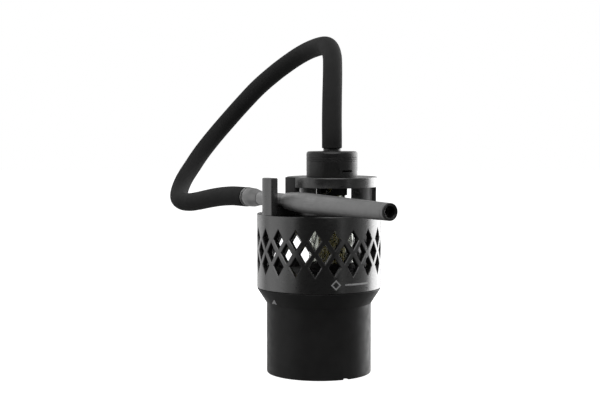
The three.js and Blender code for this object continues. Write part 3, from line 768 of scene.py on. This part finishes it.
def build_heater():
    """The ribbed brass heater with six ports, seen through the glass."""
    bottom, top = SEAT_TOP - 2.7, 103.0
    ribs = 30
    profile = [
        (7.4, bottom, 0), (HEATER_RADIUS, bottom, 0), (HEATER_RADIUS, bottom + 3, 0),
        (HEATER_RADIUS, bottom + 3.3, 1), (HEATER_RADIUS, top - 8.3, 1), (HEATER_RADIUS, top - 8, 0),
        (HEATER_RADIUS, top - 5, 0), (6.4, top, 0), (4.6, top, 0), (4.6, top - 5, 0), (7.4, top - 6, 0),
    ]
    segments = ribs * 8
    vertices = []
    for radius, z, ribbed in profile:
        for k in range(segments):
            turn = 2 * math.pi * k / segments
            depth = 0.45 * ribbed * (0.5 - 0.5 * math.cos(ribs * turn)) ** 2
            reach = radius - depth
            vertices.append((TANK_X + reach * math.cos(turn), reach * math.sin(turn), z))
    faces = []
    for row in range(len(profile)):
        below, above = row * segments, (row + 1) % len(profile) * segments
        for k in range(segments):
            following = (k + 1) % segments
            faces.append([below + k, below + following, above + following, above + k])
    body = make_object("heater_body_ribbed", vertices, faces)
    ports = []
    for row, z in enumerate((83, 93)):
        for k in range(3):
            port = turned("port", [(0, 6), (1.8, 6), (1.8, 11), (0, 11)], 32)
            move(port, Matrix.Rotation(math.radians(90), 4, "Y"))
            turn_z(port, 120 * k + row * 60 - 60)
            ports.append(shift(port, TANK_X, 0, z))
    combine(body, ports, "DIFFERENCE")
    install(body, "head", "brass", ["heater_body"])


def build_chimney():
    bottom = 97.3
    tube = turned("chimney_tube_body", [
        (2.6, bottom), (4.2, bottom), (4.2, 118.5), (3.9, 119.0, 0.2), (4.2, 119.4), (4.2, 131.8, 0.3),
        (2.6, 131.8),
    ], 72, (TANK_X, 0))
    nut = prism("nut", [
        (TANK_X + 6 * math.cos(math.pi / 3 * k + 0.3), 6 * math.sin(math.pi / 3 * k + 0.3)) for k in range(6)
    ], 119.5, 124.5)
    soften(nut, 0.4, 2)
    combine(tube, [nut], "UNION")
    core = turned("core", [(0, 90), (2.6, 90), (2.6, 140), (0, 140)], 48, (TANK_X, 0))
    combine(tube, [core], "DIFFERENCE")
    install(tube, "head", "brass", ["chimney_tube"])


def build_cage():
    """The ring on its two broad posts, notched for the fork's inner prong."""
    centre = (TANK_X, 0)
    ring = turned("cage_body", [
        (RING_BORE, RING_TOP - 3.5), (POST_INNER, RING_TOP - 3.5), (POST_INNER, RING_BOTTOM, 0.3),
        (RING_RADIUS, RING_BOTTOM, 0.4), (RING_RADIUS, RING_TOP, 0.6), (RING_BORE, RING_TOP, 0.3),
    ], 256, centre)
    foot = turned("foot", [
        (22, 108.2), (POST_OUTER, 108.2), (POST_OUTER, FOOT_TOP, 0.4), (22, FOOT_TOP, 0.4),
    ], 192, centre)
    posts = [
        ring_sector("post", POST_INNER, POST_OUTER, start, end, FOOT_TOP - 0.6, RING_BOTTOM + 0.6, centre)
        for start, end in ((-2, 59), (112, 172))
    ]
    combine(ring, [foot, *posts], "UNION")
    notch = block("notch", (INNER_PRONG_OUTER_FACE - 5, -FORK_HALF_LENGTH - 0.3, 107),
                  (INNER_PRONG_INNER_FACE + 0.3, FORK_HALF_LENGTH + 0.3, RING_TOP + 1))
    holes = [turn_z(notch, FORK_TURN)]
    for angle in (25, 90, 250):
        hole = turned("hole", [(0, 106), (1.25, 106), (1.25, 112), (0, 112)], 32)
        turn = math.radians(angle)
        holes.append(shift(hole, TANK_X + 25 * math.cos(turn), 25 * math.sin(turn)))
    combine(ring, holes, "DIFFERENCE")
    install(ring, "head", "gunmetal", ["cage"])


def build_inner_prong():
    prong = prism("inner_prong_post", [
        (INNER_PRONG_OUTER_FACE, -FORK_HALF_LENGTH, 0.7), (INNER_PRONG_INNER_FACE, -FORK_HALF_LENGTH, 0.4),
        (INNER_PRONG_INNER_FACE, FORK_HALF_LENGTH, 0.4), (INNER_PRONG_OUTER_FACE, FORK_HALF_LENGTH, 0.7),
    ], 108.2, RING_TOP)
    soften(prong, 0.4, 3, above=RING_TOP - 1)
    install(turn_z(prong, FORK_TURN), "head", "matte_black_plastic", ["inner_prong"])


def build_airflow_collar():
    """The cap that turns on its core, with the air slot and an index line beside it."""
    centre = (TANK_X, 0)
    outline = [(14.9, 133.3), (CAP_RADIUS, 133.3, 0.25)]
    for z in (143.9, 145.1, 146.3):
        outline += [(CAP_RADIUS, z - 0.16), (CAP_RADIUS - 0.14, z), (CAP_RADIUS, z + 0.16)]
    outline += [(CAP_RADIUS, CAP_TOP, 3.2), (8, CAP_TOP, 0.3), (8, 147.5), (14.9, 147.5)]
    collar = turned("airflow_collar_cap", outline, 256, centre)
    slot = prism("slot", [
        (-SLOT_HALF_LENGTH, -0.55, 0.5), (SLOT_HALF_LENGTH, -0.55, 0.5), (SLOT_HALF_LENGTH, 0.55, 0.5),
        (-SLOT_HALF_LENGTH, 0.55, 0.5),
    ], 14, 19)
    line = block("line", (-6.6, -1.9, CAP_RADIUS - 1.5), (-6.1, 1.9, 19))
    for cutter in (slot, line):
        move(cutter, Matrix.Rotation(math.radians(90), 4, "X"))
        turn_z(cutter, SLOT_TURN + 90)
        shift(cutter, TANK_X, 0, SLOT_Z)
    combine(collar, [slot, line], "DIFFERENCE")
    install(collar, "collar", "black_metal", ["airflow_collar"])


def build_hose_nozzle():
    nozzle = turned("hose_nozzle_body", [
        (2.6, 149.5), (7.4, 149.5), (7.4, 150.7, 0.4), (5.9, 150.9, 0.2), (5.9, 152.45, 0.2), (2.6, 152.45),
    ], 96, (TANK_X, 0))
    install(nozzle, "head", "black_metal", ["hose_nozzle"])


# ---------------------------------------------------------------- mouthpiece

def mouthpiece_frame():
    """From the mouthpiece's own frame, +Z towards the tip, to the CAD frame."""
    turn = Matrix.Rotation(math.radians(FORK_TURN), 4, "Z")
    place = Matrix.Translation((MOUTHPIECE_X * MM, 0, MOUTHPIECE_Z * MM))
    lie = Matrix.Rotation(math.radians(90 - MOUTHPIECE_TILT), 4, "X")
    return turn @ place @ lie


def build_mouthpiece():
    bore = MOUTHPIECE_BORE
    join = TIP_END - 1.6
    tube = turned("mouthpiece_tube_body", [
        (bore, -26.5), (4.8, -26.5, 0.3), (4.8, 6.1), (4.5, 6.3, 0.1), (4.5, 6.7, 0.1), (5.5, 6.9, 0.7),
        (6.1, 12, 8), (6.6, 20, 10), (6.8, 27, 12), (6.45, 47, 40), (5.85, 81, 40), (5.39, join - 2.6),
        (5.27, join - 2.5), (5.27, join - 2.3), (5.38, join - 2.2), (5.35, join, 0.15), (4.6, join),
        (4.6, TIP_END - 6.5), (bore, TIP_END - 6.5),
    ], 128)
    tip = turned("mouthpiece_tip_insert", [
        (3.6, TIP_END - 6.2), (4.3, TIP_END - 6.2), (4.3, TIP_END - 1.4), (5.35, TIP_END - 1.4, 0.1),
        (5.32, TIP_END, 0.8), (4.35, TIP_END - 0.1, 0.25), (4.2, TIP_END - 0.4, 0.1),
        (3.6, TIP_END - 0.7, 0.3),
    ], 128)
    connector = turned("hose_connector_bulb", [
        (bore, -HOSE_END + 0.9), (6.3, -HOSE_END + 0.9, 0.3), (6.6, -HOSE_END + 4, 6),
        (6.4, -HOSE_END + 9, 6), (5.6, -HOSE_END + 13, 6), (4.9, -HOSE_END + 17.4, 0.2),
        (bore, -HOSE_END + 17.4),
    ], 128)
    ferrule = turned("hose_ferrule_ring", [
        (bore, -HOSE_END - 0.3), (6.8, -HOSE_END - 0.3, 0.25), (6.8, -HOSE_END + 0.6, 0.25),
        (bore, -HOSE_END + 0.6),
    ], 128)
    place = mouthpiece_frame()
    install(move(tube, place), "mouthpiece", "anodised_grey", ["mouthpiece_tube"])
    install(move(tip, place), "mouthpiece", "black_metal", ["mouthpiece_tip"])
    install(move(connector, place), "mouthpiece", "anodised_grey", ["hose_connector"])
    install(move(ferrule, place), "mouthpiece", "steel", ["hose_ferrule"])


def build_mouthpiece_rest():
    half = FORK_HALF_LENGTH - 0.4
    saddle = prism("mouthpiece_rest_saddle", [
        (OUTER_PRONG_INNER_FACE + 0.3, -half, 0.5), (INNER_PRONG_OUTER_FACE - 0.3, -half, 0.5),
        (INNER_PRONG_OUTER_FACE - 0.3, half, 0.5), (OUTER_PRONG_INNER_FACE + 0.3, half, 0.5),
    ], 108.2, REST_TOP)
    trough = turned("trough", [(0, -14), (5.1, -14), (5.1, 14), (0, 14)], 96)
    move(trough, Matrix.Rotation(math.radians(90 - MOUTHPIECE_TILT), 4, "X"))
    shift(trough, MOUTHPIECE_X, 0, MOUTHPIECE_Z)
    combine(saddle, [trough], "DIFFERENCE")
    turn_z(saddle, FORK_TURN)
    install(saddle, "head", "rubber", ["mouthpiece_rest"])


# ---------------------------------------------------------------- hose

def smooth_route(points, steps=8):
    """A centripetal Catmull-Rom line through the points, as the CAD hose follows."""
    route = [Vector(p) for p in points]
    route.insert(0, 2 * route[0] - route[1])
    route.append(2 * route[-1] - route[-2])
    line = []
    for i in range(1, len(route) - 2):
        p = route[i - 1:i + 3]
        t = [0.0]
        for a, b in zip(p, p[1:]):
            t.append(t[-1] + math.sqrt((b - a).length))
        for k in range(steps):
            u = t[1] + (t[2] - t[1]) * k / steps
            a1 = p[0].lerp(p[1], (u - t[0]) / (t[1] - t[0]))
            a2 = p[1].lerp(p[2], (u - t[1]) / (t[2] - t[1]))
            a3 = p[2].lerp(p[3], (u - t[2]) / (t[3] - t[2]))
            b1 = a1.lerp(a2, (u - t[0]) / (t[2] - t[0]))
            b2 = a2.lerp(a3, (u - t[1]) / (t[3] - t[1]))
            line.append(b1.lerp(b2, (u - t[1]) / (t[2] - t[1])))
    line.append(route[-2])
    return line


def hose_mesh(line, sides=48):
    """A hollow tube with rounded ends along the line, its frames carried along without twist."""
    count = len(line)
    tangents = [(line[min(i + 1, count - 1)] - line[max(i - 1, 0)]).normalized() for i in range(count)]
    across = Vector((1, 0, 0))
    frames = []
    for tangent in tangents:
        across = (across - tangent * across.dot(tangent)).normalized()
        frames.append((across.copy(), tangent.cross(across)))
    rings = [(0, HOSE_BORE, 0.0), (0, HOSE_RADIUS - 0.5, 0.0), (0, HOSE_RADIUS - 0.15, 0.15)]
    rings += [(0, HOSE_RADIUS, 0.5)] + [(i, HOSE_RADIUS, 0.0) for i in range(1, count - 1)]
    rings += [(count - 1, HOSE_RADIUS, -0.5), (count - 1, HOSE_RADIUS - 0.15, -0.15)]
    rings += [(count - 1, HOSE_RADIUS - 0.5, 0.0)]
    rings += [(i, HOSE_BORE, 0.0) for i in range(count - 1, 0, -1)]
    vertices = []
    for index, radius, ahead in rings:
        side, up = frames[index]
        centre = line[index] + tangents[index] * ahead
        for k in range(sides):
            turn = 2 * math.pi * k / sides
            vertices.append(tuple(centre + side * radius * math.cos(turn) + up * radius * math.sin(turn)))
    faces = []
    for row in range(len(rings)):
        here, following_row = row * sides, (row + 1) % len(rings) * sides
        for k in range(sides):
            following = (k + 1) % sides
            faces.append([here + k, here + following, following_row + following, following_row + k])
    return make_object("hose_tube", vertices, faces)


def build_hose():
    line = [point - Vector((0, 0, FOOT)) for point in smooth_route(HOSE_ROUTE)]
    hose = hose_mesh(line)
    shade(hose)
    dress(hose, MATERIALS["hose_rubber"])
    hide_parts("hose")
    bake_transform(hose)


# ---------------------------------------------------------------- the CAD nodes that stay

CARRIED_NODES = {
    "battery_cradle": "matte_black_plastic", "battery_cell_1": "cell_wrap", "battery_cell_2": "cell_wrap",
    "control_board": "circuit_board", "charge_port": "steel", "button_switch": "circuit_board",
    "base_lid": "matte_black_plastic", "contact_pin": "brass", "head_floor": "matte_black_plastic",
    "contact_plate": "brass", "contact_lead": "rubber", "seat_seal": "rubber", "neck_seal": "rubber",
    "wick": "cotton", "cap_core": "matte_black_plastic",
}


def dress_carried_nodes():
    screws = {name: "steel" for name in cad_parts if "_screw_" in name}
    for name, slot in {**CARRIED_NODES, **screws}.items():
        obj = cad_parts[name]
        shade(obj)
        dress(obj, MATERIALS[slot])


# ---------------------------------------------------------------- stage, light and camera

def build_floor():
    size = FLOOR_HALF_SIZE
    corners = [(-size, -size, 0), (size, -size, 0), (size, size, 0), (-size, size, 0)]
    floor = make_object("floor", corners, [[0, 1, 2, 3]])
    material = bpy.data.materials.new("pale_floor")
    material.use_nodes = True
    shader = material.node_tree.nodes["Principled BSDF"]
    shader.inputs["Base Color"].default_value = (0.8, 0.8, 0.8, 1)
    shader.inputs["Roughness"].default_value = 0.9
    shader.inputs["Emission Color"].default_value = WHITE
    shader.inputs["Emission Strength"].default_value = 1.0
    dress(floor, material)
    floor.visible_glossy = False
    floor.visible_diffuse = False


def build_world():
    """White to the camera and through glass. Reflections see a room dark in front, light behind."""
    world = bpy.data.worlds.new("studio")
    world.use_nodes = True
    nodes, links = world.node_tree.nodes, world.node_tree.links
    nodes.clear()
    seen = nodes.new("ShaderNodeBackground")
    seen.inputs["Color"].default_value = WHITE
    place = nodes.new("ShaderNodeTexCoord")
    split = nodes.new("ShaderNodeSeparateXYZ")
    depth = nodes.new("ShaderNodeMapRange")
    depth.inputs["From Min"].default_value, depth.inputs["From Max"].default_value = ROOM_TURNS_AT
    depth.inputs["To Min"].default_value = ROOM_FRONT
    depth.inputs["To Max"].default_value = ROOM_BACK
    room = nodes.new("ShaderNodeBackground")
    room.inputs["Color"].default_value = WHITE
    path = nodes.new("ShaderNodeLightPath")
    either = nodes.new("ShaderNodeMath")
    either.operation = "MAXIMUM"
    mix = nodes.new("ShaderNodeMixShader")
    output = nodes.new("ShaderNodeOutputWorld")
    links.new(place.outputs["Generated"], split.inputs["Vector"])
    links.new(split.outputs["Y"], depth.inputs["Value"])
    links.new(depth.outputs["Result"], room.inputs["Strength"])
    links.new(path.outputs["Is Camera Ray"], either.inputs[0])
    links.new(path.outputs["Is Transmission Ray"], either.inputs[1])
    links.new(either.outputs["Value"], mix.inputs["Fac"])
    links.new(room.outputs["Background"], mix.inputs[1])
    links.new(seen.outputs["Background"], mix.inputs[2])
    links.new(mix.outputs["Shader"], output.inputs["Surface"])
    bpy.context.scene.world = world


def soft_light(name, azimuth, size, radiance, elevation=SOFTBOX_RISE, distance=SOFTBOX_DISTANCE):
    """A softbox aimed at the part. Azimuth is in degrees from the front, positive to the right."""
    light = bpy.data.lights.new(name, "AREA")
    light.shape = "RECTANGLE"
    light.size, light.size_y = size
    light.energy = radiance * math.pi * size[0] * size[1]
    obj = bpy.data.objects.new(name, light)
    bpy.context.scene.collection.objects.link(obj)
    turn, rise = math.radians(azimuth), math.radians(elevation)
    away = Vector((math.sin(turn) * math.cos(rise), -math.cos(turn) * math.cos(rise), math.sin(rise)))
    obj.location = Vector(LIGHT_TARGET) + away * distance
    obj.rotation_euler = away.to_track_quat("Z", "Y").to_euler()


def build_lights():
    soft_light("right_softbox", 132, (1.0, 1.2), 2.9)
    soft_light("left_back_softbox", -145, (0.8, 1.2), 0.55)
    soft_light("left_softbox", -85, (1.0, 1.2), 0.28)
    soft_light("front_left_strip", -50, (0.12, 1.0), 0.5)
    soft_light("front_right_strip", 42, (0.10, 1.0), 0.4)
    soft_light("overhead_softbox", 0, (1.2, 1.2), 1.3, elevation=62, distance=1.3)


def build_camera():
    camera = bpy.data.cameras.new("camera")
    camera.sensor_width = SENSOR_WIDTH
    camera.lens = CAMERA_LENS
    camera.clip_start = 0.01
    obj = bpy.data.objects.new("camera", camera)
    bpy.context.scene.collection.objects.link(obj)
    obj.location = Vector(CAMERA_PLACE) * MM
    obj.rotation_euler = (math.radians(90 - CAMERA_PITCH), 0, 0)
    bpy.context.scene.camera = obj
    bpy.context.scene.view_settings.view_transform = "Standard"


build_camera()
build_hose()
build_base_cup()
build_foot_pad()
build_index_mark()
build_power_button()
build_lattice_shell()
build_top_plate()
build_ornament()
build_tank_seat()
build_tank_glass()
build_heater()
build_chimney()
build_cage()
build_inner_prong()
build_neck_seal()
build_airflow_collar()
build_hose_nozzle()
build_mouthpiece()
build_mouthpiece_rest()
dress_carried_nodes()
build_floor()
build_world()
build_lights()
